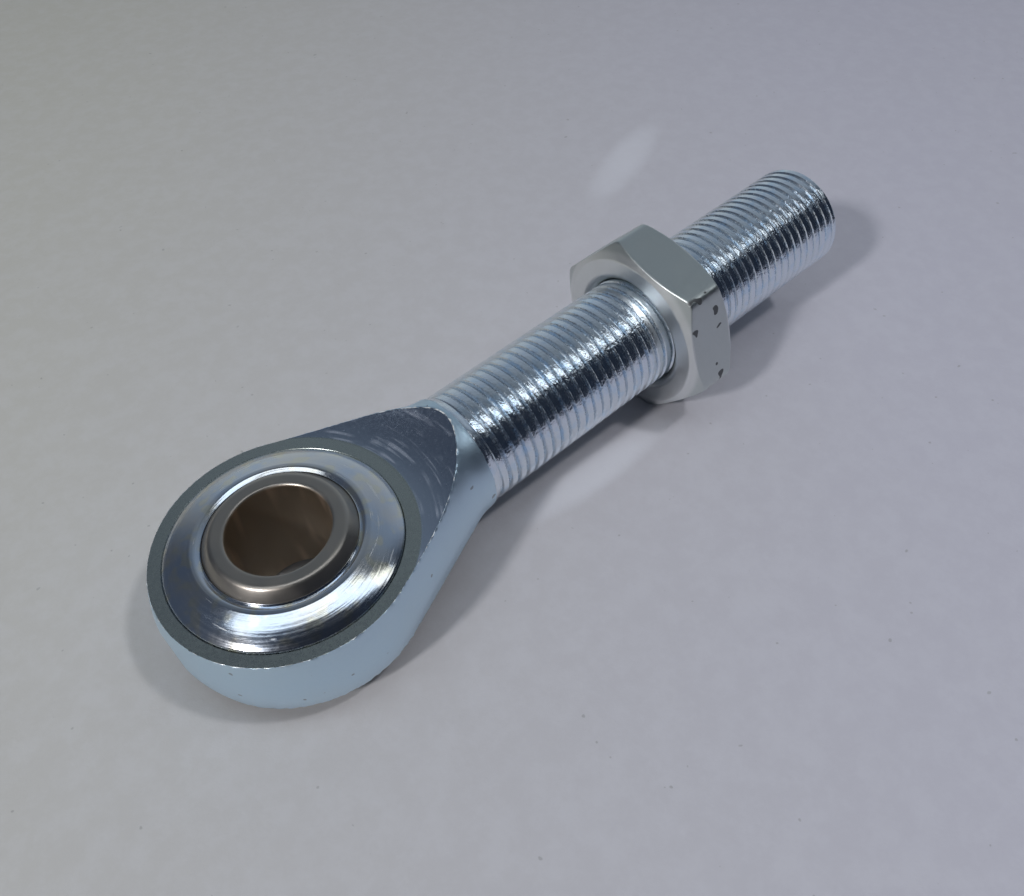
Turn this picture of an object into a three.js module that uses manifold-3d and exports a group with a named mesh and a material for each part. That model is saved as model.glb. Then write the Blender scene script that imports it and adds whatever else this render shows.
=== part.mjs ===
// Male rod end bearing with a lock nut: a threaded shank whose eye holds a ball in a steel race.
// Millimetres. The origin is the centre of the ball, +X runs along the shank to its free end,
// and +Z runs along the bore of the ball.
import * as THREE from "three";
import { mergeVertices } from "three/addons/utils/BufferGeometryUtils.js";
import Module from "manifold-3d";

// Ball
const boreDiameter = 12;
const ballDiameter = 22.225;
const ballWidth = 16;
const boreChamfer = 0.4;
const faceBreak = 0.65; // how far the rounded rim of the ball's end face reaches in

// Race, pressed into the eye
const raceWidth = 13.8;
const raceDiameter = 27.6;
const raceLand = 0.8; // width of the flat land beside the ball
const raceShoulder = 0.1; // height of the race's wall above the face of the eye
const raceCrown = 0.3; // how far the domed shoulder bulges out of a straight cone
const ballClearance = 0.12;
const pressGap = 0.05;

// Eye and neck
const headDiameter = 32.5;
const eyeWidth = 10;
const eyeFaceDiameter = 31.2; // where the turned relief starts to rise towards the neck
const neckDiameter = 16.4;
const coneAngle = THREE.MathUtils.degToRad(22); // flare from the neck to the head
const neckFillet = 14;
const reliefReach = 24.6; // radius, about the bore axis, at which the relief leaves the neck
const reliefRadius = 20;
const oilHoleDiameter = 3.5;

// Shank and its thread, M16 x 1.5
const centreToEnd = 95;
const centreToThread = 26.5;
const threadDiameter = 15.85;
const threadPitch = 1.5;
const threadDepth = 0.6;
const crestShare = 0.38; // flat crest, as a share of the pitch
const runOut = 3.2; // length over which the thread fades in beside the neck
const endChamfer = 1;

// Lock nut
const nutAcrossFlats = 24;
const nutChamferInset = 0.35; // from the flats in to where the chamfer starts on the face
const nutThickness = 8;
const nutChamferAngle = THREE.MathUtils.degToRad(30);
const nutBoreClearance = 0.15;
const nutCountersink = 0.75;
const nutPlace = 56.6; // from the centre of the ball to the nearer face of the nut
const nutTurn = THREE.MathUtils.degToRad(-17.4); // how far the nut has been turned on the thread

// Facets
const roundSides = 48;
const threadSides = 16;
const headSteps = 14;
const ballSteps = 10;
const curveSteps = 8; // along the seat in the race, and along the relief
const filletSteps = 5; // along the dome of the race, and along the neck fillet

const wasm = await Module();
wasm.setup();

const ballRadius = ballDiameter / 2;
const headRadius = headDiameter / 2;
const neckRadius = neckDiameter / 2;
const threadRadius = threadDiameter / 2;
const seatRadius = raceDiameter / 2 + pressGap;

function toSolid(geometry) {
  const bare = geometry.clone();
  bare.deleteAttribute("normal");
  bare.deleteAttribute("uv");
  const merged = mergeVertices(bare, 1e-4);
  return new wasm.Manifold(
    new wasm.Mesh({
      numProp: 3,
      vertProperties: new Float32Array(merged.attributes.position.array),
      triVerts: new Uint32Array(merged.index.array),
    }),
  );
}

function toGeometry(solid) {
  const mesh = solid.getMesh();
  const geometry = new THREE.BufferGeometry();
  geometry.setAttribute("position", new THREE.BufferAttribute(mesh.vertProperties, 3));
  geometry.setIndex(new THREE.BufferAttribute(mesh.triVerts, 1));
  const flat = geometry.toNonIndexed();
  flat.computeVertexNormals();
  return flat;
}

// Points [radius, height] turned about Z. The profile runs upwards on its outer side.
function turned(points, sides = roundSides) {
  const profile = points.map(([radius, height]) => new THREE.Vector2(radius, height));
  return new THREE.LatheGeometry(profile, sides).rotateX(Math.PI / 2);
}

// Points [radius, x] turned about X, with x increasing on the outer side.
function turnedAlongX(points, sides = roundSides) {
  return turned(points, sides).rotateY(Math.PI / 2);
}

// Points [radius, height] along an arc about a centre [radius, height].
function arc([centreRadius, centreHeight], radius, from, to, steps) {
  return Array.from({ length: steps + 1 }, (_, i) => {
    const angle = THREE.MathUtils.lerp(from, to, i / steps);
    return [centreRadius + radius * Math.cos(angle), centreHeight + radius * Math.sin(angle)];
  });
}

// The centre of the circle through two points, on the left of the way from one to the other.
function circleCentre([x1, y1], [x2, y2], radius) {
  const half = Math.hypot(x2 - x1, y2 - y1) / 2;
  const rise = Math.sqrt(radius * radius - half * half) / (2 * half);
  return [(x1 + x2) / 2 - (y2 - y1) * rise, (y1 + y2) / 2 + (x2 - x1) * rise];
}

function arcBetween(start, end, radius, steps) {
  const centre = circleCentre(start, end, radius);
  const angleTo = ([x, y]) => Math.atan2(y - centre[1], x - centre[0]);
  return arc(centre, radius, angleTo(start), angleTo(end), steps);
}

function mirrored(points) {
  return points.map(([radius, height]) => [radius, -height]).reverse();
}

// ---- Ball: a zone of a sphere with flat faces and a chamfered bore
function ballGeometry() {
  const half = ballWidth / 2;
  const bore = boreDiameter / 2;
  const rim = Math.sqrt(ballRadius ** 2 - half ** 2) - faceBreak;
  const edge = Math.asin((half - faceBreak / 2) / ballRadius);
  const upper = [[rim, half], [bore + boreChamfer, half], [bore, half - boreChamfer]];
  const zone = arc([0, 0], ballRadius, -edge, edge, ballSteps);
  return turned([...mirrored(upper), ...zone, ...upper, [bore, boreChamfer - half]]);
}

// ---- Race: a ring with a spherical seat for the ball and a domed shoulder on each side
function raceGeometry() {
  const half = raceWidth / 2;
  const outer = raceDiameter / 2;
  const seat = ballRadius + ballClearance;
  const landInner = Math.sqrt(seat ** 2 - half ** 2) + raceShoulder;
  const landOuter = landInner + raceLand;
  const foot = [outer, eyeWidth / 2 + raceShoulder];
  const land = [landOuter, half];
  const chord = Math.hypot(foot[0] - land[0], foot[1] - land[1]);
  const domeRadius = (chord ** 2 / 4 + raceCrown ** 2) / (2 * raceCrown);
  const outside = [...arcBetween(foot, land, domeRadius, filletSteps), [landInner, half]];
  const reach = Math.asin((half - raceShoulder) / seat);
  const inside = arc([0, 0], seat, reach, -reach, curveSteps);
  const ring = [...mirrored(outside), ...outside, ...inside];
  return turned([...ring, ring[0]]);
}

// ---- Rod: the head and neck are turned about X before the eye is faced and bored
function blankSolid() {
  const coneStart = [headRadius * Math.cos(coneAngle), headRadius * Math.sin(coneAngle)];
  const slope = Math.tan(coneAngle);
  const tangent = neckFillet * Math.tan(coneAngle / 2);
  const corner = coneStart[1] + (coneStart[0] - neckRadius) / slope;
  const filletCentre = [neckRadius + neckFillet, corner + tangent];
  const head = arc([0, 0], headRadius, -Math.PI / 2, coneAngle, headSteps);
  const fillet = arc(filletCentre, neckFillet, Math.PI + coneAngle, Math.PI, filletSteps);
  const profile = [...head, ...fillet, [neckRadius, centreToThread], [0, centreToThread]];
  profile[0] = [0, -headRadius];
  return toSolid(turnedAlongX(profile));
}

// The turned relief that leaves the flat face of the eye and rises over the neck.
function reliefSolid() {
  const face = [eyeFaceDiameter / 2, eyeWidth / 2];
  const rise = arcBetween(face, [reliefReach, neckRadius], reliefRadius, curveSteps);
  const top = 2 * headRadius;
  const points = [[0, face[1]], ...rise, [reliefReach + top - neckRadius, top], [0, top]];
  return toSolid(turned(points, 2 * roundSides));
}

// A helical ridge: rows of points follow the helix, three to each pitch, and fans close the ends.
function threadSolid() {
  const root = threadRadius - threadDepth;
  const rows = [
    [0, root],
    [0.5 - crestShare / 2, threadRadius],
    [0.5 + crestShare / 2, threadRadius],
  ];
  const turns = Math.ceil((centreToEnd - centreToThread) / threadPitch) + 3;
  const start = centreToThread - 2 * threadPitch;
  const positions = [];
  const index = [];
  const stride = threadSides + 1;
  const lastRow = rows.length * turns;
  for (let i = 0; i <= lastRow; i++) {
    const [share, radius] = rows[i % rows.length];
    for (let j = 0; j <= threadSides; j++) {
      const turn = j / threadSides;
      const angle = 2 * Math.PI * (turn % 1);
      const x = start + threadPitch * (Math.floor(i / rows.length) + share + turn);
      positions.push(x, radius * Math.cos(angle), radius * Math.sin(angle));
    }
  }
  for (let i = 0; i < lastRow; i++)
    for (let j = 0; j < threadSides; j++) {
      const a = i * stride + j;
      index.push(a, a + 1, a + stride, a + 1, a + stride + 1, a + stride);
    }
  const point = (i, j) => i * stride + j;
  const across = Array.from({ length: threadSides }, (_, j) => j);
  const along = rows.map((_, i) => i);
  const hub = positions.length / 3;
  positions.push(start - threadPitch, 0, 0, start + (turns + 2) * threadPitch, 0, 0);
  for (const j of across) {
    index.push(hub, point(0, j + 1), point(0, j));
    index.push(hub + 1, point(lastRow, j), point(lastRow, j + 1));
  }
  for (const i of along) {
    index.push(hub, point(i, 0), point(i + 1, 0));
    const low = lastRow - rows.length + i;
    index.push(hub + 1, point(low + 1, threadSides), point(low, threadSides));
  }
  const geometry = new THREE.BufferGeometry();
  geometry.setAttribute("position", new THREE.Float32BufferAttribute(positions, 3));
  geometry.setIndex(index);
  return toSolid(geometry);
}

// What the thread is cut from: the shank with its chamfered end, and the fade-in beside the neck.
function shankSolid() {
  const root = threadRadius - threadDepth;
  const envelope = turnedAlongX([
    [0, centreToThread - threadPitch],
    [threadDiameter, centreToThread - threadPitch],
    [threadDiameter, centreToEnd - endChamfer - threadRadius],
    [threadRadius - endChamfer, centreToEnd],
    [0, centreToEnd],
  ]);
  const fade = turnedAlongX([
    [0, centreToThread - threadPitch],
    [threadRadius, centreToThread - threadPitch],
    [threadRadius - threadDepth / 4, centreToThread + threadPitch / 2],
    [root, centreToThread + runOut],
    [0, centreToThread + runOut],
  ]);
  return threadSolid().intersect(toSolid(envelope)).add(toSolid(fade));
}

function rodGeometry() {
  const seat = new THREE.CylinderGeometry(seatRadius, seatRadius, headDiameter, roundSides);
  const oilHole = new THREE.CylinderGeometry(
    oilHoleDiameter / 2,
    oilHoleDiameter / 2,
    headRadius,
    roundSides / 2,
  );
  oilHole.rotateZ(Math.PI / 2).translate(-headRadius, 0, 0);
  const relief = reliefSolid();
  return toGeometry(
    blankSolid()
      .add(shankSolid())
      .subtract(relief)
      .subtract(relief.rotate([180, 0, 0]))
      .subtract(toSolid(seat.rotateX(Math.PI / 2)))
      .subtract(toSolid(oilHole)),
  );
}

// ---- Lock nut: a thin hexagon, chamfered on both faces, centred on its own axis along X
function nutGeometry() {
  const corner = nutAcrossFlats / 2 / Math.cos(Math.PI / 6);
  const half = nutThickness / 2;
  const bore = threadRadius + nutBoreClearance;
  const face = nutAcrossFlats / 2 - nutChamferInset;
  const drop = (2 * corner - face) * Math.tan(nutChamferAngle);
  const outline = new THREE.Shape(
    Array.from({ length: 6 }, (_, i) => {
      const angle = (i * Math.PI) / 3;
      return new THREE.Vector2(corner * Math.cos(angle), corner * Math.sin(angle));
    }),
  );
  const hexagon = new THREE.ExtrudeGeometry(outline, { depth: nutThickness, bevelEnabled: false });
  hexagon.translate(0, 0, -half);
  const cones = [[0, -half], [face, -half], [2 * corner, drop - half]];
  const waist = turned([...cones, ...mirrored(cones)]);
  const hole = turned([
    [0, -nutThickness],
    [bore + nutCountersink + half, -nutThickness],
    [bore, nutCountersink - half],
    [bore, half - nutCountersink],
    [bore + nutCountersink + half, nutThickness],
    [0, nutThickness],
  ]);
  return toGeometry(toSolid(hexagon).intersect(toSolid(waist)).subtract(toSolid(hole)));
}

function material(color, metalness, roughness) {
  return new THREE.MeshStandardMaterial({ color, metalness, roughness });
}

const zincPlate = material(0xb4c0cb, 1, 0.28);
const racePlate = material(0xc3c8d2, 1, 0.18);
const bearingSteel = material(0x6b625b, 1, 0.25);
const nutPlate = material(0xa7b3b8, 1, 0.36);

function part(name, geometry, look) {
  const mesh = new THREE.Mesh(geometry, look);
  mesh.name = name;
  return mesh;
}

const nut = part("lock_nut", nutGeometry(), nutPlate);
nut.rotation.set(nutTurn, Math.PI / 2, 0, "XYZ");
nut.position.x = nutPlace + nutThickness / 2;

const rodEnd = new THREE.Group();
rodEnd.add(
  part("rod_end_body", rodGeometry(), zincPlate),
  part("race", raceGeometry(), racePlate),
  part("ball", ballGeometry(), bearingSteel),
  nut,
);

export default rodEnd;
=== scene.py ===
import math

import bmesh
import bpy
import numpy as np
from mathutils import Matrix, Vector


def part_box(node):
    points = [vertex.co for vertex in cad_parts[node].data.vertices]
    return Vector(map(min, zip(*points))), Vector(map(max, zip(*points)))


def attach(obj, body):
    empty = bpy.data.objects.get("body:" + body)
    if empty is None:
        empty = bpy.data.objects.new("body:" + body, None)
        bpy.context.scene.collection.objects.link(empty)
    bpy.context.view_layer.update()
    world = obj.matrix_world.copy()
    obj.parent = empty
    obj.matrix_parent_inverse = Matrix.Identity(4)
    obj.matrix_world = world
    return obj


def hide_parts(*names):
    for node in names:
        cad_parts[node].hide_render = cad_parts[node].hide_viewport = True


mm = 0.001
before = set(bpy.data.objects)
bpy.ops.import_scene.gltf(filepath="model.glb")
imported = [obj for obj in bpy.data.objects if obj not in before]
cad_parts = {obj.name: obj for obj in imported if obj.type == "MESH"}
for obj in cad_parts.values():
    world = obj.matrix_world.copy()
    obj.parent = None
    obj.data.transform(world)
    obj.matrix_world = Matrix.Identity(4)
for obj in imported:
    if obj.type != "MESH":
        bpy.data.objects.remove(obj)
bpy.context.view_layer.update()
rodLow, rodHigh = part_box("rod_end_body")
raceLow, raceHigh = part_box("race")
ballLow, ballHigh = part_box("ball")
nutLow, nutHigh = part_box("lock_nut")
print("frame loaded")


# ---- surfaces
# quads between neighbouring points of a grid of rows and columns, whose columns close on themselves
def gridQuads(rows, columns, closeRows=False):
    i = np.arange(rows if closeRows else rows - 1)[:, None]
    j = np.arange(columns)[None, :]
    above, beside = (i + 1) % rows, (j + 1) % columns
    corners = [i * columns + j, i * columns + beside, above * columns + beside, above * columns + j]
    return np.stack(corners, -1).reshape(-1, 4)


# a mesh object from points and quads, with its doubles merged and its faces turned outwards
def makePiece(name, points, quads, sharpAngle=50, values=None):
    mesh = bpy.data.meshes.new(name)
    mesh.from_pydata(points.reshape(-1, 3), [], quads)
    for key, numbers in (values or {}).items():
        layer = mesh.attributes.new(key, "FLOAT", "POINT")
        layer.data.foreach_set("value", np.ascontiguousarray(numbers, np.float32).ravel())
    form = bmesh.new()
    form.from_mesh(mesh)
    bmesh.ops.remove_doubles(form, verts=form.verts, dist=1e-7)
    bmesh.ops.dissolve_degenerate(form, edges=form.edges, dist=1e-8)
    bmesh.ops.recalc_face_normals(form, faces=form.faces)
    form.to_mesh(mesh)
    form.free()
    mesh.shade_smooth()
    mesh.set_sharp_from_angle(angle=math.radians(sharpAngle))
    piece = bpy.data.objects.new(name, mesh)
    bpy.context.scene.collection.objects.link(piece)
    return piece


# points along a polyline, so many millimetres apart, with every corner kept
def evenly(path, spacing):
    path = np.asarray(path, float)
    ends = zip(path[:-1], path[1:])
    counts = [max(2, int(np.ceil(np.hypot(*(b - a)) / spacing)) + 1) for a, b in zip(path[:-1], path[1:])]
    parts = [a + (b - a) * np.linspace(0, 1, count)[:-1, None] for (a, b), count in zip(ends, counts)]
    return np.concatenate(parts + [path[-1:]])


# each point moved to the mean of itself and its neighbours, over and over: corners turn round
def softened(loop, passes):
    for _ in range(passes):
        loop = (np.roll(loop, 1, 0) + 2 * loop + np.roll(loop, -1, 0)) / 4
    return loop


# points on a circle about a centre, from one angle to another
def arc(centre, radius, start, end, count):
    turn = np.linspace(start, end, count)
    return np.stack([centre[0] + radius * np.cos(turn), centre[1] + radius * np.sin(turn)], -1)


# centre of the circle through two points, on the left of the way from one to the other
def circleCentre(a, b, radius):
    a, b = np.asarray(a, float), np.asarray(b, float)
    half = np.hypot(*(b - a)) / 2
    across = np.array([a[1] - b[1], b[0] - a[0]]) / (2 * half)
    return (a + b) / 2 + across * np.sqrt(radius**2 - half**2)


def arcBetween(a, b, radius, count):
    centre = circleCentre(a, b, radius)
    start = math.atan2(a[1] - centre[1], a[0] - centre[0])
    end = math.atan2(b[1] - centre[1], b[0] - centre[0])
    return arc(centre, radius, start, end, count)


# a closed outline of (radius, height) carried round Z: x = r cos t, y = r sin t, z = height
def turnedRing(name, outline, sides, **more):
    turn = np.arange(sides) * 2 * np.pi / sides
    radius, height = outline[:, 0][:, None], outline[:, 1][:, None]
    points = np.stack(np.broadcast_arrays(radius * np.cos(turn), radius * np.sin(turn), height), -1)
    return makePiece(name, points, gridQuads(len(outline), sides, True), **more)


# ---- eye and neck
head = {
    "radius": rodHigh.y,
    "coneAngle": math.radians(22),
    "neckRadius": 8.2 * mm,
    "neckFillet": 9 * mm,
    "neckEnd": 24.8 * mm,
    "taperStart": 24.1 * mm,  # where the neck begins to draw in to the thread
    "taperLength": 1.7 * mm,
    "taperDrop": 0.28 * mm,
    "seatRadius": raceHigh.x + 0.05 * mm,
    "halfWidth": 5 * mm,
    "seatChamfer": 0.1 * mm,
    "faceRadius": 15.6 * mm,
    "reliefReach": 24.1 * mm,
    "reliefRadius": 20 * mm,
    "oilHoleRadius": 1.75 * mm,
    "sinkStart": 15.3 * mm,  # the oil hole widens outward from here
    "azimuths": 512,
    "sidePoints": 81,
    "burr": 0.035 * mm,
}


# radius of the turned blank about X: sphere, cone, fillet, neck, and the draw-in to the thread
def blankRadius(x):
    slope, cosine = math.tan(head["coneAngle"]), math.cos(head["coneAngle"])
    coneX = head["radius"] * math.sin(head["coneAngle"])
    coneR = head["radius"] * cosine
    corner = coneX + (coneR - head["neckRadius"]) / slope
    filletEnd = corner + head["neckFillet"] * math.tan(head["coneAngle"] / 2)
    filletX = filletEnd - head["neckFillet"] * math.sin(head["coneAngle"])
    sphere = np.sqrt(np.maximum(head["radius"] ** 2 - np.minimum(x, coneX) ** 2, 0))
    cone = coneR - (x - coneX) * slope
    inFillet = np.clip(x, filletX, filletEnd) - filletEnd
    fillet = head["neckRadius"] + head["neckFillet"] - np.sqrt(head["neckFillet"] ** 2 - inFillet**2)
    share = np.clip((x - head["taperStart"]) / head["taperLength"], 0, 1)
    drawn = fillet - head["taperDrop"] * share**2 * (3 - 2 * share)
    return np.where(x < coneX, sphere, np.where(x < filletX, cone, drawn))


# height of the faced top over the distance from the bore: flat, then the turned relief's arc
def facedHeight(distance):
    a, b = (head["faceRadius"], head["halfWidth"]), (head["reliefReach"], head["neckRadius"])
    centre = circleCentre(a, b, head["reliefRadius"])
    inside = head["reliefRadius"] ** 2 - (np.clip(distance, a[0], 27 * mm) - centre[0]) ** 2
    return np.where(distance < a[0], head["halfWidth"], centre[1] - np.sqrt(inside))


# halves the gap between a value inside and a value outside until the edge is found
def findEdge(isInside, low, high, steps=36):
    for _ in range(steps):
        middle = (low + high) / 2
        inner = isInside(middle)
        low, high = np.where(inner, middle, low), np.where(inner, high, middle)
    return low


# the eye as rows round Z: bore wall, face, relief, and the blank's side found along rays from a ring
def buildHead():
    even = np.linspace(0, 2 * np.pi, head["azimuths"], endpoint=False)
    azimuth = (even - 0.5 * np.sin(even))[:, None]  # closer together towards the neck
    cosine, sine = np.cos(azimuth), np.sin(azimuth)

    def inBlank(distance, height):
        x = distance * cosine
        room = blankRadius(x) ** 2 - (distance * sine) ** 2 - height**2
        return (room > 0) & (x < head["neckEnd"])

    seat, half = head["seatRadius"], head["halfWidth"]
    edge = findEdge(lambda d: inBlank(d, facedHeight(d)), seat + 0 * azimuth, 27 * mm + 0 * azimuth)
    share = np.linspace(0, 1, 40)[None, :] ** 0.8
    start = seat + head["seatChamfer"]
    faceDistance = start + (edge - start) * share
    faceHeight = facedHeight(faceDistance)
    wall = np.linspace(0, half - head["seatChamfer"], 4)[None, :] + 0 * azimuth
    topDistance = np.concatenate([seat + 0 * wall, faceDistance], 1)
    topHeight = np.concatenate([wall, faceHeight], 1)

    source = seat + 0.05 * mm
    topAngle = np.arctan2(facedHeight(edge), edge - source)
    endY = head["neckEnd"] * np.tan(np.clip(azimuth - 2 * np.pi * (azimuth > np.pi), -1, 1))
    endR = float(blankRadius(np.array(head["neckEnd"])))
    endZ = np.sqrt(np.maximum(endR**2 - endY**2, 0))
    kneeAngle = np.arctan2(endZ, np.hypot(head["neckEnd"], endY) - source)
    knee = np.maximum(np.where(cosine > 0.9, kneeAngle / topAngle, 0), 0.4)
    walk = np.linspace(1, -1, head["sidePoints"])[None, :]
    outer = np.sign(walk) * (knee + (1 - knee) * (2 * np.abs(walk) - 1))
    angle = topAngle * np.where(np.abs(walk) > 0.5, outer, 2 * walk * knee)
    ray = findEdge(lambda t: inBlank(source + t * np.cos(angle), t * np.sin(angle)),
                   0 * angle, 20 * mm + 0 * angle)
    sideDistance, sideHeight = source + ray * np.cos(angle), ray * np.sin(angle)

    distance = np.concatenate([topDistance, sideDistance[:, 1:-1], topDistance[:, ::-1]], 1)
    height = np.concatenate([topHeight, sideHeight[:, 1:-1], -topHeight[:, ::-1]], 1)
    top = topDistance.shape[1]
    faced = np.zeros(distance.shape[1])
    faced[:top - 1] = 1
    faced[1 - top:] = 1
    rng = np.random.default_rng(7)
    burr = rng.normal(0, 1, head["azimuths"])
    burr = (burr + 0.6 * np.roll(burr, 1)) * head["burr"]
    for rim in (top - 1, distance.shape[1] - top):  # a rough, slightly uneven rim
        distance[:, rim] += burr
        height[:, rim] -= np.sign(height[:, rim]) * np.abs(burr) * 0.8
    points = np.stack([distance * cosine, distance * sine, height], -1)
    rows, columns = distance.shape
    piece = makePiece("eye", points.transpose(1, 0, 2), gridQuads(columns, rows, True), 42,
                      {"faced": np.broadcast_to(faced[:, None], (columns, rows))})
    return piece


# a round cutter through the far wall of the eye, taken away with a boolean
def drillOilHole(piece):
    turn = np.arange(64) * 2 * np.pi / 64
    ring = head["oilHoleRadius"] * np.stack([0 * turn, np.cos(turn), np.sin(turn)], -1)
    wide = 1 + (18 * mm - head["sinkStart"]) / head["oilHoleRadius"]
    rows = [ring * [1, 0, 0] - [18 * mm, 0, 0], ring * [1, wide, wide] - [18 * mm, 0, 0],
            ring - [head["sinkStart"], 0, 0], ring - [12 * mm, 0, 0], ring * [1, 0, 0] - [12 * mm, 0, 0]]
    cutter = makePiece("cutter", np.stack(rows), gridQuads(5, 64))
    change = piece.modifiers.new("oilHole", "BOOLEAN")
    change.object, change.operation, change.solver = cutter, "DIFFERENCE", "EXACT"
    bpy.context.view_layer.update()
    drilled = bpy.data.meshes.new_from_object(piece.evaluated_get(bpy.context.evaluated_depsgraph_get()))
    piece.modifiers.clear()
    piece.data = drilled
    drilled.set_sharp_from_angle(angle=math.radians(42))
    bpy.data.objects.remove(cutter)


eye = buildHead()
drillOilHole(eye)
print("eye", len(eye.data.polygons))

# ---- threaded shank
shank = {
    "start": 24.5 * mm,  # inside the neck
    "end": rodHigh.x,
    "threadStart": 24.9 * mm,
    "radius": 7.925 * mm,
    "depth": 0.52 * mm,
    "pitch": 1.5 * mm,
    "grooveWidth": 0.46,  # share of the pitch
    "runOut": 2.6 * mm,
    "endChamfer": 1 * mm,
    "proud": 0.02 * mm,
    "rowsToPitch": 16,
    "sides": 96,
}


# depth of the rounded groove over the share of a pitch: a raised cosine, sharpened at its foot
def grooveShape(share):
    across = np.abs((share % 1) - 0.5) * 2 / shank["grooveWidth"]
    hollow = np.clip(1 - across, 0, 1)
    return np.minimum(hollow * 1.25, 1) ** 1.15


# rows follow the helix, x = start + pitch (row share + turn), so each row's end is the next turn's start
def buildShank():
    pitch, rowsToPitch, sides = shank["pitch"], shank["rowsToPitch"], shank["sides"]
    rows = int((shank["end"] - shank["start"]) / pitch + 6) * rowsToPitch
    row, side = np.arange(rows)[:, None], np.arange(sides)[None, :]
    share = row / rowsToPitch
    share = share + 0.6 * np.sin(2 * np.pi * share) / (2 * np.pi)  # rows lie closer together in the groove
    x = shank["start"] + pitch * (share + side / sides - 2.2)
    turn = 2 * np.pi * side / sides + 0 * x
    cut = shank["radius"] - shank["depth"] * grooveShape(share + 0 * x)
    root = shank["radius"] - shank["depth"]
    toThread = np.clip((x - shank["threadStart"]) / shank["runOut"], 0, 1)
    bare = blankRadius(x) + shank["proud"] - toThread * (shank["radius"] - root)
    radius = np.maximum(cut, bare)
    radius = np.minimum(radius, shank["radius"] - shank["endChamfer"] + shank["end"] - x)
    face = shank["radius"] - shank["endChamfer"]
    step = 1.6 * pitch / rowsToPitch
    past = np.maximum(x - shank["end"] - step, 0) / pitch
    radius = np.where(x > shank["end"], face * np.maximum(1 - past, 0), radius)
    before = np.maximum(shank["start"] - x - step, 0) / (0.5 * pitch)  # both ends close on the axis
    radius = np.where(x < shank["start"], shank["radius"] * np.maximum(1 - before, 0), radius)
    x = np.clip(x, shank["start"], shank["end"])
    points = np.stack([x, radius * np.cos(turn), radius * np.sin(turn)], -1)
    i, j = np.arange(rows - 1 - rowsToPitch)[:, None], np.arange(sides)[None, :]
    beside = np.where(j == sides - 1, (i + rowsToPitch) * sides, i * sides + j + 1)
    above = np.where(j == sides - 1, (i + 1 + rowsToPitch) * sides, (i + 1) * sides + j + 1)
    quads = np.stack(np.broadcast_arrays(i * sides + j, beside, above, (i + 1) * sides + j), -1)
    groove = np.clip((shank["radius"] - radius) / shank["depth"], 0, 1)
    return makePiece("threaded_shank", points, quads.reshape(-1, 4), 38, {"groove": groove})


threadedShank = buildShank()
print("shank", len(threadedShank.data.polygons))

# ---- race and ball
race = {
    "outer": raceHigh.x,
    "half": raceHigh.z,
    "seat": ballHigh.x + 0.12 * mm,
    "shoulder": 0.1 * mm,
    "land": 0.9 * mm,
    "landDrop": 0.45 * mm,  # the land leans in towards the ball
    "curl": 0.4 * mm,  # how much of the dome's fall comes as a curl at its foot
    "spacing": 0.16 * mm,
    "sides": 320,
}
ball = {
    "radius": ballHigh.x,
    "half": ballHigh.z,
    "bore": 6 * mm,
    "boreChamfer": 0.22 * mm,
    "faceBreak": 0.38 * mm,
    "spacing": 0.16 * mm,
    "sides": 320,
}


def buildRace():
    outer, half, seat = race["outer"], race["half"], race["seat"]
    inner = math.sqrt(seat**2 - half**2) + race["shoulder"]
    foot, land = (outer, head["halfWidth"] + race["shoulder"]), (inner + race["land"], half)
    fall = half - foot[1]
    share = np.linspace(1, 0, 40)  # from the foot in to the land: a cone that curls down at its foot
    drop = (fall - race["curl"]) * share + race["curl"] * share**4
    dome = np.stack([land[0] + (foot[0] - land[0]) * share, half - drop], -1)
    reach = math.asin((half - race["shoulder"]) / seat)
    seatArc = arc((0, 0), seat, reach, -reach, 90)
    lip = np.array([inner, half - race["landDrop"]])
    crest = dome[-1] + (lip - dome[-1]) * np.linspace(0.2, 1, 8)[:, None]
    topHalf = np.concatenate([[(outer, 0)], dome[:-3], crest])
    loop = np.concatenate([topHalf, seatArc, (topHalf * [1, -1])[::-1]])
    outline = softened(evenly(loop, race["spacing"])[:-1], 1)
    return turnedRing("race_ring", outline, race["sides"], sharpAngle=60)


def buildBall():
    radius, half, bore = ball["radius"], ball["half"], ball["bore"]
    rim = math.sqrt(radius**2 - half**2) - ball["faceBreak"]
    rimRound = (radius**2 - rim**2 - half**2) / (2 * (radius - half))  # touches the sphere and the face
    edge = math.atan2(half - rimRound, rim)
    zone = arc((0, 0), radius, 0, edge, 60)
    rounding = arc((rim, half - rimRound), rimRound, edge, np.pi / 2, 14)
    upper = [(bore + ball["boreChamfer"], half), (bore, half - ball["boreChamfer"]), (bore, 0)]
    top = np.concatenate([zone, rounding[1:], upper])
    loop = np.concatenate([top, (top * [1, -1])[::-1]])
    outline = softened(evenly(loop, ball["spacing"])[:-1], 2)
    return turnedRing("bored_ball", outline, ball["sides"], sharpAngle=60)


raceRing = buildRace()
boredBall = buildBall()
print("race", len(raceRing.data.polygons), "ball", len(boredBall.data.polygons))

# ---- lock nut
nut = {
    "front": nutLow.x,
    "back": nutHigh.x,
    "acrossFlats": 24 * mm,
    "turn": math.radians(-17.4),
    "cornerRound": 40,  # higher is sharper
    "chamferAngle": math.radians(30),
    "chamferStart": 0.945,  # share of half the width across the flats
    "bore": 8.03 * mm,
    "grooveDepth": 0.35 * mm,
    "countersink": 0.95 * mm,
    "toFlat": 64,
    "spacing": 0.2 * mm,
}


# a hexagon's radius as a sum of high powers of the cosines to its flats, so its corners are round
def hexagonRadius(turn):
    flats = np.cos(turn[..., None] - nut["turn"] - np.arange(6) * np.pi / 3)
    power = nut["cornerRound"]
    return nut["acrossFlats"] / 2 / (np.maximum(flats, 0) ** power).sum(-1) ** (1 / power)


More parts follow.
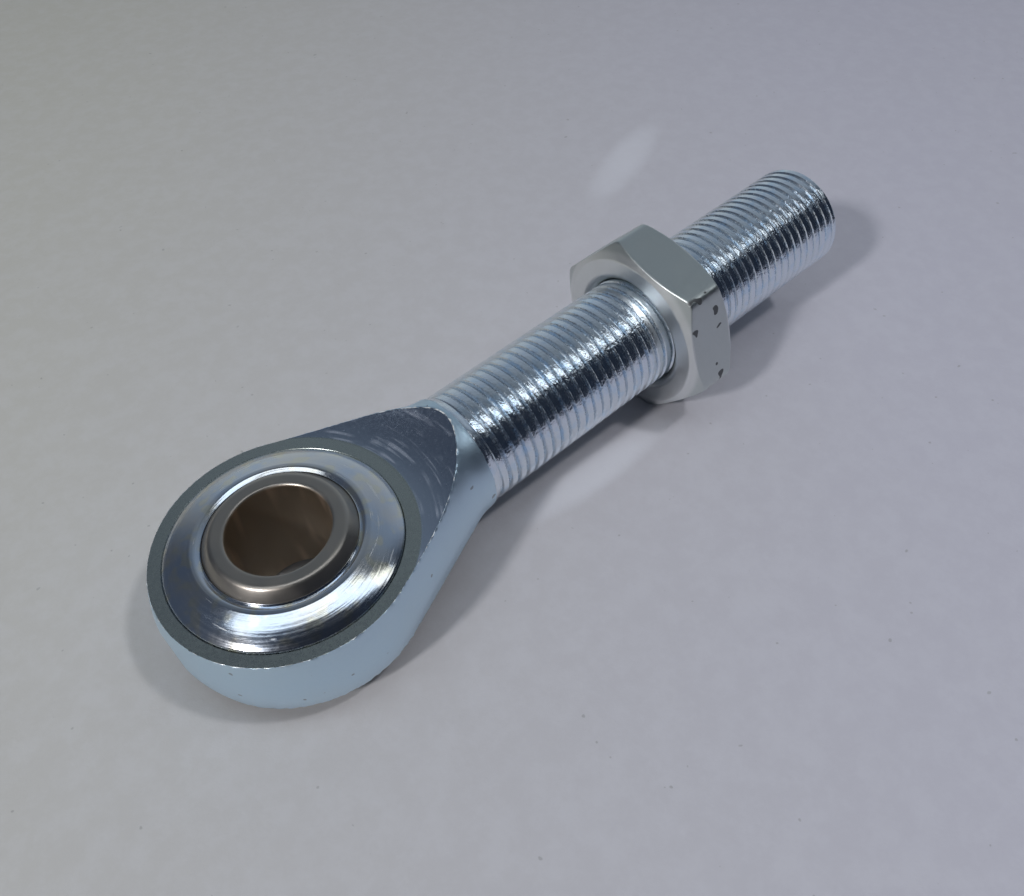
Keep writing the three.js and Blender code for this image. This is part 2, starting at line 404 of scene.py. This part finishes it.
# an outline (radius, x) at every angle: bore, countersink, face, chamfer cone, flat, and back
def buildNut():
    half = (nut["back"] - nut["front"]) / 2
    middle = (nut["back"] + nut["front"]) / 2
    walk = np.linspace(-1, 1, nut["toFlat"], endpoint=False)
    within = (0.3 * walk + 0.7 * np.sin(walk * np.pi / 2)) * np.pi / 6
    turn = (within[None, :] + np.arange(6)[:, None] * np.pi / 3).ravel() + nut["turn"]
    hexagon = hexagonRadius(turn)[:, None]
    coneStart = nut["acrossFlats"] / 2 * nut["chamferStart"]
    mouth = nut["bore"] + nut["countersink"]
    inward = np.linspace(0, half - nut["countersink"], 50)[None, :]
    groove = 0.5 - 0.5 * np.cos(2 * np.pi * inward / shank["pitch"])
    boreRadius = nut["bore"] + nut["grooveDepth"] * groove**2
    sink = np.linspace(0, 1, 6)[None, 1:]
    faceShare = np.linspace(0, 1, 16)[None, 1:]
    coneShare = np.linspace(0, 1, 22)[None, 1:]
    flatShare = np.linspace(0, 1, 26)[None, 1:]
    cone = coneStart + (hexagon - coneStart) * coneShare
    rim = half - (hexagon - coneStart) * math.tan(nut["chamferAngle"])
    across = 0 * hexagon
    radius = [boreRadius + across, boreRadius[:, -1:] + (mouth - boreRadius[:, -1:]) * sink + across,
              mouth + (coneStart - mouth) * faceShare + across, cone, hexagon + 0 * flatShare]
    along = [inward + across, half - nut["countersink"] * (1 - sink) + across, half + 0 * faceShare + across,
             half - (cone - coneStart) * math.tan(nut["chamferAngle"]), rim * (1 - flatShare)]
    radius, along = np.concatenate(radius, 1), np.concatenate(along, 1)
    radius = np.concatenate([radius, radius[:, ::-1]], 1)
    along = np.concatenate([along, -along[:, ::-1]], 1)
    loop = softened(np.stack([radius, along], -1).transpose(1, 0, 2), 2)
    radius, along = loop[..., 0], loop[..., 1]
    points = np.stack([middle - along, radius * np.cos(turn), radius * np.sin(turn)], -1)
    return makePiece("hexagon_nut", points, gridQuads(len(points), len(turn), True), 40)


hexagonNut = buildNut()
print("nut", len(hexagonNut.data.polygons))


# ---- shader helpers
class Wire:  # a socket that can stand in a sum
    def __init__(self, sheet, socket):
        self.sheet, self.socket = sheet, socket

    def __add__(self, other):
        return self.sheet.sum("ADD", self, other)

    def __sub__(self, other):
        return self.sheet.sum("SUBTRACT", self, other)

    def __rsub__(self, other):
        return self.sheet.sum("SUBTRACT", other, self)

    def __mul__(self, other):
        return self.sheet.sum("MULTIPLY", self, other)

    def __truediv__(self, other):
        return self.sheet.sum("DIVIDE", self, other)

    def __pow__(self, other):
        return self.sheet.sum("POWER", self, other)

    __radd__ = __add__
    __rmul__ = __mul__


class Sheet:  # a node tree being drawn
    def __init__(self, tree):
        self.tree = tree
        tree.nodes.clear()

    # one node: its type, its settings, the values or wires of its sockets, and the output to use
    def node(self, kind, settings=None, sockets=None, out=0):
        made = self.tree.nodes.new(kind)
        for key, value in (settings or {}).items():
            if key == "stops":
                band = made.color_ramp
                while len(band.elements) < len(value):
                    band.elements.new(0.5)
                for stop, (place, colour) in zip(band.elements, value):
                    stop.position, stop.color = place, (*colour, 1)
            else:
                setattr(made, key, value)
        for key, value in (sockets or {}).items():
            if isinstance(value, Wire):
                self.tree.links.new(value.socket, made.inputs[key])
            else:
                made.inputs[key].default_value = value
        return Wire(self, made.outputs[out])

    def show(self, shader, kind):
        output = self.tree.nodes.new(kind)
        self.tree.links.new(shader.socket, output.inputs[0])

    def sum(self, operation, a, b=0.0):
        return self.node("ShaderNodeMath", {"operation": operation}, {0: a, 1: b})

    def mix(self, factor, a, b):
        a, b = ((*c, 1) if isinstance(c, tuple) else c for c in (a, b))
        return self.node("ShaderNodeMix", {"data_type": "RGBA"}, {0: factor, 6: a, 7: b}, 2)

    # 0 below one value, 1 above the other, smooth between
    def step(self, value, low, high):
        settings = {"interpolation_type": "SMOOTHSTEP"}
        return self.node("ShaderNodeMapRange", settings, {0: value, 1: low, 2: high, 3: 0.0, 4: 1.0})

    def noise(self, vector, size, detail=2.0, rough=0.5):
        sockets = {"Vector": vector, "Scale": 1 / size, "Detail": detail, "Roughness": rough}
        return self.node("ShaderNodeTexNoise", None, sockets)

    def place(self):
        return self.node("ShaderNodeTexCoord", None, None, "Object")

    def parts(self, vector):
        return [self.node("ShaderNodeSeparateXYZ", None, {0: vector}, k) for k in range(3)]

    def vector(self, x, y, z):
        return self.node("ShaderNodeCombineXYZ", None, {0: x, 1: y, 2: z})

    def attribute(self, name):
        return self.node("ShaderNodeAttribute", {"attribute_name": name}, None, "Fac")

    def bump(self, height, depth, normal=None):
        sockets = {"Strength": 1.0, "Distance": depth, "Height": height}
        if normal:
            sockets["Normal"] = normal
        return self.node("ShaderNodeBump", None, sockets)

    # fine rings about Z: noise that changes fast with the distance from the axis, slowly round it
    def ringsAboutZ(self, width, length):
        x, y, z = self.parts(self.place())
        distance = (x * x + y * y) ** 0.5
        spread = 0.012 / length
        return self.noise(self.vector(distance / width, x / distance * spread, y / distance * spread), 1.0)

    # fine rings about X, in the same way
    def ringsAboutX(self, width, length):
        x, y, z = self.parts(self.place())
        distance = (y * y + z * z) ** 0.5
        spread = 0.008 / length
        return self.noise(self.vector(x / width, y / distance * spread, z / distance * spread), 1.0)


def newMaterial(name):
    material = bpy.data.materials.new(name)
    material.use_nodes = True
    return material, Sheet(material.node_tree)


def finishMetal(sheet, colour, rough, normal, **constants):
    sockets = {"Base Color": colour, "Metallic": 1.0, "Roughness": rough, "Normal": normal, **constants}
    shader = sheet.node("ShaderNodeBsdfPrincipled", None, sockets)
    sheet.show(shader, "ShaderNodeOutputMaterial")


# ---- materials
eyePlate = {
    "blue": (0.60, 0.77, 0.91),
    "green": (0.43, 0.47, 0.45),
    "warm": (0.64, 0.76, 0.82),
    "navy": (0.46, 0.52, 0.64),
    "wornGlint": (0.95, 0.97, 0.97),
    "sideRough": 0.4,
    "faceRough": 0.28,
    "reliefRough": 0.22,
}


def makeEyePlate():
    material, sheet = newMaterial("blue_white_zinc")
    place = sheet.place()
    x, y, z = sheet.parts(place)
    distance = (x * x + y * y) ** 0.5
    faced = sheet.step(sheet.attribute("faced"), 0.2, 0.8)
    flat = faced * (1 - sheet.step(distance, 0.0156, 0.0159))
    relief = faced - flat
    cloud = sheet.noise(place, 0.006, 3.0)
    fine = sheet.noise(place, 0.0004, 3.0, 0.6)
    arcs = sheet.ringsAboutZ(0.0005, 0.006)
    turned = sheet.ringsAboutX(0.0005, 0.02)
    colour = sheet.mix(cloud * 0.5, eyePlate["blue"], eyePlate["warm"])
    colour = sheet.mix(flat, colour, eyePlate["green"])
    colour = sheet.mix(relief * 0.85, colour, eyePlate["navy"])
    sweep = sheet.noise(place, 0.004, 1.0)
    marks = sheet.step(arcs, 0.52, 0.66) * sheet.step(sweep, 0.42, 0.58) * relief
    colour = sheet.mix(marks * 0.9, colour, (0.72, 0.78, 0.90))
    pits = sheet.step(sheet.noise(place, 0.0011, 0.0), 0.83, 0.86) * (1 - faced)
    colour = sheet.mix(pits * 0.6, colour, (0.18, 0.18, 0.19))
    # the inside of the oil hole is painted nearly black: painted shade in the recess
    inHole = (1 - sheet.step((y * y + z * z) ** 0.5, 0.0022, 0.0025)) * (1 - sheet.step(x, -0.0135, -0.013))
    colour = sheet.mix(inHole, colour, (0.07, 0.07, 0.075))
    wearAndGlint = sheet.step(sheet.noise(place, 0.0009, 2.0), 0.44, 0.62)
    edge = sheet.attribute("faced")
    edge = sheet.step(edge * (1 - edge) * 4, 0.25, 0.7) * wearAndGlint  # the rim between face and side, worn and painted bright as a highlight
    colour = sheet.mix(edge, colour, eyePlate["wornGlint"])
    rough = (eyePlate["sideRough"] + flat * (eyePlate["faceRough"] - eyePlate["sideRough"])
             + relief * (eyePlate["reliefRough"] - eyePlate["sideRough"]) + (fine - 0.5) * 0.25
             + inHole * 0.3)
    height = arcs * (flat * 0.8 + relief * 2.5) + turned * (1 - faced) * 0.5 + fine * (0.25 + faced * 0.75)
    finishMetal(sheet, colour, rough, sheet.bump(height, 0.000004), Metallic=1 - edge * 0.6 - marks * 0.12)
    return material


threadPlate = {
    "crest": (0.80, 0.88, 0.97),
    "root": (0.62, 0.69, 0.77),
    "tint": (0.62, 0.78, 0.95),
    "rough": 0.17,
}


def makeThreadPlate():
    material, sheet = newMaterial("bright_thread_zinc")
    place = sheet.place()
    groove = sheet.attribute("groove")
    speckle = sheet.noise(place, 0.0005, 2.0, 0.6)
    grain = sheet.ringsAboutX(0.00016, 0.003)
    tint = sheet.step(sheet.noise(place, 0.0016, 1.0), 0.5, 0.7)
    cloud = sheet.noise(place, 0.007, 2.0)
    # the grooves are painted darker than the crests: painted shade in the thread's roots
    colour = sheet.mix(groove * 0.8, threadPlate["crest"], threadPlate["root"])
    colour = sheet.mix(cloud * 0.4, colour, (0.72, 0.74, 0.73))
    colour = sheet.mix(tint * 0.6, colour, threadPlate["tint"])
    x, y, z = sheet.parts(place)
    onEnd = sheet.step(x, shank["end"] - 0.00012, shank["end"] - 0.00006)
    rough = threadPlate["rough"] + (speckle - 0.5) * 0.25 + groove * 0.1 + onEnd * 0.15
    height = (speckle + grain * 0.3) * (1 - onEnd * 0.85)
    finishMetal(sheet, colour, rough, sheet.bump(height, 0.00005))
    return material


racePlate = {
    "silver": (0.72, 0.72, 0.72),
    "blue": (0.58, 0.66, 0.78),
    "gold": (0.78, 0.75, 0.62),
    "rough": 0.15,
}


def makeRacePlate():
    material, sheet = newMaterial("bright_race_zinc")
    place = sheet.place()
    rings = sheet.ringsAboutZ(0.00018, 0.01)
    coarse = sheet.ringsAboutZ(0.0006, 0.03)
    cloud = sheet.noise(place, 0.005, 2.0)
    dirt = sheet.noise(place, 0.0007, 3.0, 0.6)
    shimmer = sheet.noise(place, 0.0017, 1.0)
    colour = sheet.mix(sheet.step(cloud, 0.35, 0.65), racePlate["silver"], racePlate["blue"])
    colour = sheet.mix(sheet.step(shimmer, 0.5, 0.68) * 0.7, colour, racePlate["gold"])
    scratch = sheet.step(sheet.ringsAboutZ(0.0004, 0.0045), 0.68, 0.74)
    colour = sheet.mix(scratch * 0.6, colour, (0.9, 0.9, 0.9))
    rough = racePlate["rough"] + (dirt - 0.5) * 0.12 + (rings - 0.5) * 0.2 + scratch * 0.2
    finishMetal(sheet, colour, rough, sheet.bump(rings + coarse + dirt * 0.8, 0.000009))
    return material


ballSteel = {"ground": (0.38, 0.36, 0.335), "brown": (0.50, 0.41, 0.31), "boreSheen": (0.80, 0.65, 0.52),
             "rough": 0.34}


def makeBallSteel():
    material, sheet = newMaterial("ground_bearing_steel")
    place = sheet.place()
    x, y, z = sheet.parts(place)
    distance = (x * x + y * y) ** 0.5
    inBore = 1 - sheet.step(distance, 0.00602, 0.0062)
    rings = sheet.ringsAboutZ(0.0002, 0.012)
    stain = sheet.noise(place, 0.003, 3.0, 0.6)
    fine = sheet.noise(place, 0.0004, 2.0)
    colour = sheet.mix(inBore * 0.7 + stain * 0.3, ballSteel["ground"], ballSteel["brown"])
    around = sheet.noise(sheet.vector(x / distance * 2.2, y / distance * 2.2, z * 60), 1.0, 1.0)
    sheenStreaks = sheet.step(around, 0.5, 0.66) * inBore  # soft light streaks along the bore, painted reflections
    colour = sheet.mix(sheenStreaks * 0.8, colour, ballSteel["boreSheen"])
    rough = ballSteel["rough"] + (stain - 0.5) * 0.2 + inBore * 0.12
    finishMetal(sheet, colour, rough, sheet.bump(rings + fine * 0.7, 0.000004))
    return material


nutPlate = {"satin": (0.58, 0.625, 0.62), "bright": (0.80, 0.82, 0.82), "rough": 0.38}


def makeNutPlate():
    material, sheet = newMaterial("satin_nut_zinc")
    place = sheet.place()
    x, y, z = sheet.parts(place)
    distance = (y * y + z * z) ** 0.5
    middle = (nut["front"] + nut["back"]) / 2
    apart = sheet.sum("ABSOLUTE", x - middle)
    onFlat = 1 - sheet.step(apart, 0.0032, 0.0036)
    fine = sheet.noise(place, 0.0005, 3.0, 0.6)
    cloud = sheet.noise(place, 0.004, 2.0)
    rings = sheet.ringsAboutX(0.0006, 0.02)
    nearSide = sheet.step(0 - y, 0.0085, 0.009)
    specks = sheet.step(sheet.noise(place, 0.0014, 0.0), 0.745, 0.77) * onFlat * nearSide
    # the turned faces and chamfers are lighter than the flats, and on the chamfer lines this is painted
    # highlight
    colour = sheet.mix(onFlat, nutPlate["bright"], nutPlate["satin"])
    colour = sheet.mix(cloud * 0.3, colour, (0.62, 0.62, 0.58))
    colour = sheet.mix(specks * 0.85, colour, (0.12, 0.12, 0.13))
    rough = nutPlate["rough"] + (fine - 0.5) * 0.3 + specks * 0.3
    finishMetal(sheet, colour, rough, sheet.bump(fine + rings * 0.2 - specks * 2, 0.000005))
    return material


def dress(piece, material, body, node):
    piece.data.materials.clear()
    piece.data.materials.append(material)
    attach(piece, body)
    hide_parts(node)


dress(eye, makeEyePlate(), "rod", "rod_end_body")
dress(threadedShank, makeThreadPlate(), "rod", "rod_end_body")
dress(raceRing, makeRacePlate(), "rod", "race")
dress(boredBall, makeBallSteel(), "ball", "ball")
dress(hexagonNut, makeNutPlate(), "lock_nut", "lock_nut")
print("materials on")

# ---- paper, light and camera
paper = {"height": -8.72 * mm, "slope": -0.0745, "size": 1.6,
         "left": (0.475, 0.475, 0.425), "right": (0.475, 0.475, 0.56), "cloud": (0.46, 0.46, 0.47),
         "lit": (0.66, 0.68, 0.74),
         "glow": [(0.042, -0.0082, 0.0, 0.017, 0.0035, 0.65), (0.106, 0.047, 0.4, 0.02, 0.005, 0.45)]}


# a flat sheet, z = height + slope x
def buildPaper():
    along = np.linspace(-paper["size"] / 2, paper["size"] / 2, 41)
    x, y = np.meshgrid(along, along, indexing="ij")
    points = np.stack([x, y, paper["height"] + paper["slope"] * x], -1)
    i, j = np.arange(40)[:, None], np.arange(40)[None, :]
    quads = np.stack(np.broadcast_arrays(i * 41 + j, i * 41 + 41 + j, i * 41 + 42 + j, i * 41 + j + 1), -1)
    mesh = bpy.data.meshes.new("paper")
    mesh.from_pydata(points.reshape(-1, 3), [], quads.reshape(-1, 4))
    sheetOfPaper = bpy.data.objects.new("paper", mesh)
    bpy.context.scene.collection.objects.link(sheetOfPaper)
    material, sheet = newMaterial("lilac_grey_paper")
    place = sheet.place()
    tooth = sheet.noise(place, 0.0008, 3.0, 0.7)
    cloud = sheet.noise(place, 0.05, 2.0)
    x, y, z = sheet.parts(place)
    # the tint runs from greenish on the left to lilac on the right, painted in place of differently coloured
    # light
    across = sheet.step(x * 0.75 - y * 0.66, -0.1, 0.12)
    colour = sheet.mix(across, paper["left"], paper["right"])
    colour = sheet.mix(cloud * 0.3, colour, paper["cloud"])
    for centreX, centreY, turn, length, width, strength in paper["glow"]:  # faint light thrown by the metal
        cosine, sine = math.cos(turn), math.sin(turn)
        along = ((x - centreX) * cosine + (y - centreY) * sine) / length
        aside = ((y - centreY) * cosine - (x - centreX) * sine) / width
        glow = 1 - sheet.step(along**2 + aside**2, 0.0, 1.0)
        colour = sheet.mix(glow * strength, colour, paper["lit"])
    specks = sheet.step(sheet.noise(place, 0.0012, 1.0), 0.775, 0.80)
    colour = sheet.mix(specks * 0.45, colour, (0.2, 0.2, 0.2))
    mottle = sheet.noise(place, 0.0035, 3.0, 0.7)
    colour = sheet.mix(sheet.step(mottle, 0.35, 0.7) * 0.12, colour, paper["lit"])
    shader = sheet.node("ShaderNodeBsdfPrincipled", None,
                        {"Base Color": colour, "Roughness": 0.75, "Normal": sheet.bump(tooth, 0.00003)})
    sheet.show(shader, "ShaderNodeOutputMaterial")
    mesh.materials.append(material)


buildPaper()

room = {
    "horizon": (0.41, 0.46, 0.49),
    "middle": (0.26, 0.305, 0.365),
    "top": (0.19, 0.222, 0.255),
    "above": (0.10, 0.12, 0.145),
    "side": (0.062, 0.075, 0.098),
    "near": (0.014, 0.019, 0.03),
}


# the room's own light: grey at the horizon, darker overhead and to the left, dark on the near side
def lightRoom():
    world = bpy.data.worlds.new("room")
    bpy.context.scene.world = world
    world.use_nodes = True
    sheet = Sheet(world.node_tree)
    direction = sheet.node("ShaderNodeTexCoord", None, None, "Generated")
    x, y, z = sheet.parts(direction)
    stops = [(0.0, room["horizon"]), (0.5, room["middle"]), (0.8, room["top"]), (0.95, room["above"])]
    sky = sheet.node("ShaderNodeValToRGB", {"stops": stops}, {0: z})
    beside = sheet.step(x + y * 0.15, -0.25, 0.42)
    colour = sheet.mix(beside, room["side"], sky)
    near = sheet.step(x * 0.1 - y, -0.05, 0.4)
    colour = sheet.mix(near, colour, room["near"])
    background = sheet.node("ShaderNodeBackground", None, {"Color": colour, "Strength": 1.0})
    sheet.show(background, "ShaderNodeOutputWorld")


lightRoom()

lamps = {
    "strip": {"place": (0.109, -0.091, 0.45), "size": (0.9, 0.12), "turn": -25, "power": 0.55, "gloss": True,
              "colour": (0.9, 0.96, 1.0)},
    "key": {"place": (-0.67, -0.13, 0.6), "size": (0.07, 0.07), "turn": None, "power": 4.0, "gloss": True,
            "colour": (1.0, 0.98, 0.98)},
    "second": {"place": (0.31, -0.34, 0.8), "size": (0.07, 0.07), "turn": None, "power": 1.8, "gloss": False,
               "colour": (1.0, 0.98, 1.0)},
    "soft": {"place": (0.05, 0.02, 0.6), "size": (1.2, 1.2), "turn": None, "power": 0.35, "gloss": False,
             "colour": (1.0, 0.98, 0.97)},
}


def hangLamp(name, lamp):
    light = bpy.data.lights.new(name, "AREA")
    light.shape = "RECTANGLE"
    light.size, light.size_y = lamp["size"]
    light.energy = lamp["power"]
    light.color = lamp["colour"]
    hung = bpy.data.objects.new(name, light)
    bpy.context.scene.collection.objects.link(hung)
    place, aim = Vector(lamp["place"]), Vector((0.03, 0, 0))
    facing = (aim - place).to_track_quat("-Z", "Y").to_matrix().to_4x4()
    if lamp["turn"] is not None:  # level, turned about Z
        facing = Matrix.Rotation(math.radians(lamp["turn"]), 4, "Z")
    hung.matrix_world = Matrix.Translation(place) @ facing
    hung.visible_glossy = lamp["gloss"]


for lampName, lamp in lamps.items():
    hangLamp(lampName, lamp)

view = {
    "place": (-15.4 * mm, -63.1 * mm, 90.4 * mm),
    "aim": (30.5 * mm, -4.4 * mm, 0),
    "roll": -4.7,
    "lens": 31.97,
}


def setCamera():
    data = bpy.data.cameras.new("camera")
    data.lens = view["lens"]
    data.clip_start, data.clip_end = 0.005, 10
    camera = bpy.data.objects.new("camera", data)
    bpy.context.scene.collection.objects.link(camera)
    place, aim = Vector(view["place"]), Vector(view["aim"])
    forward = (aim - place).normalized()
    right = forward.cross(Vector((0, 0, 1))).normalized()
    up = right.cross(forward)
    roll = math.radians(view["roll"])
    right, up = (right * math.cos(roll) + up * math.sin(roll), up * math.cos(roll) - right * math.sin(roll))
    camera.matrix_world = Matrix.Translation(place) @ Matrix((right, up, -forward)).transposed().to_4x4()
    bpy.context.scene.camera = camera


setCamera()
bpy.context.scene.view_settings.view_transform = "Standard"
print("scene set")
